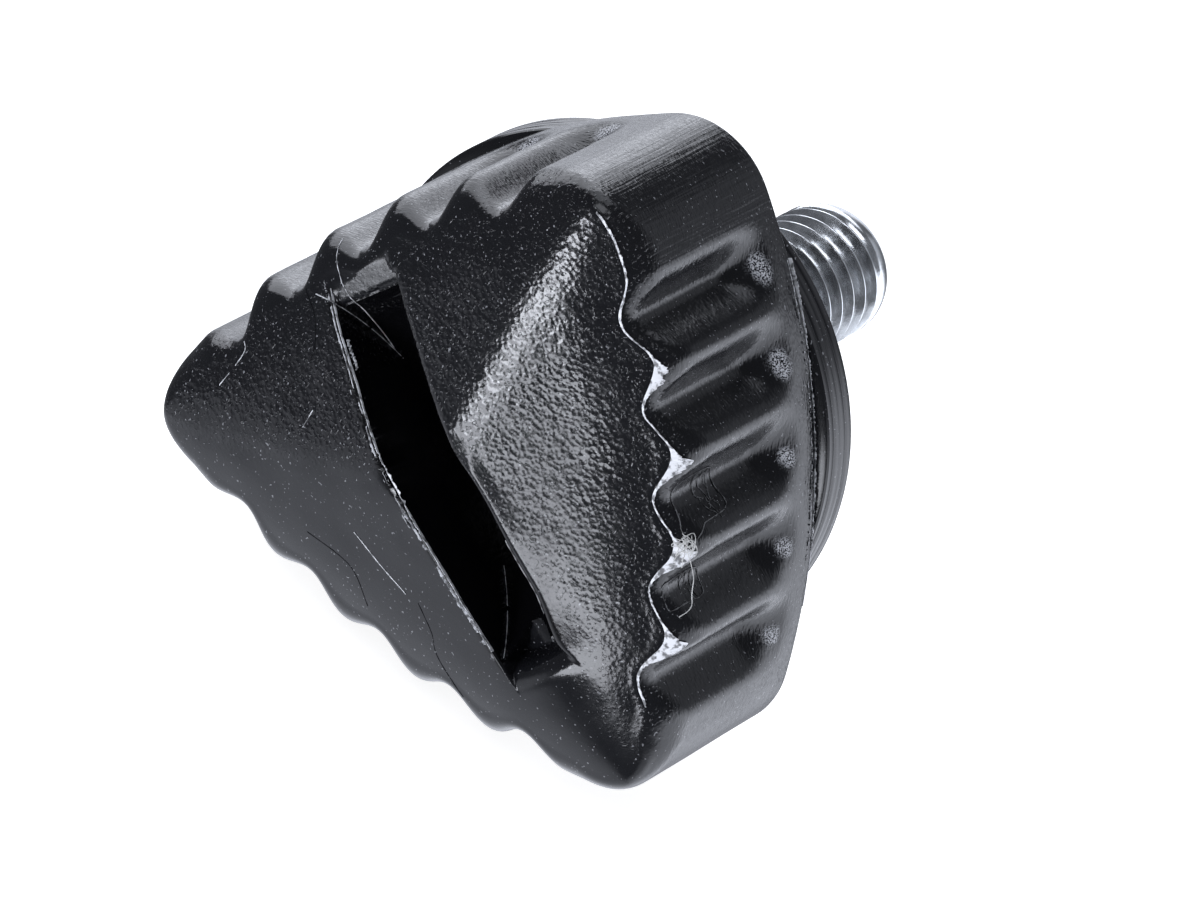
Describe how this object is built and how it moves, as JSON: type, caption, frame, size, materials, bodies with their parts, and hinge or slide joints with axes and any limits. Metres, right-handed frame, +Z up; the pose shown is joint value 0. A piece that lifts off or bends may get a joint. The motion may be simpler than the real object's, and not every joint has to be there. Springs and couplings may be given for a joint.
{
  "type": "fairing bolt",
  "caption": "Three-sided moulded grip with fluted sides, a coin slot and a round seating collar, on a steel threaded bolt.",
  "frame": {"origin": "centre of the collar's seating face, on the thread's axis", "axes": "+Y along the thread towards its tip, +Z up with the bolt lying on one of its three sides and a corner of the grip on top, +X to the right seen from the front of the grip"},
  "size_m": [0.0358, 0.0414, 0.0352],
  "materials": {
    "grip_plastic": "satin",
    "zinc_steel": "satin"
  },
  "bodies": {
    "root": {"grip": "grip_plastic", "threaded_bolt": "zinc_steel"}
  },
  "joints": []
}
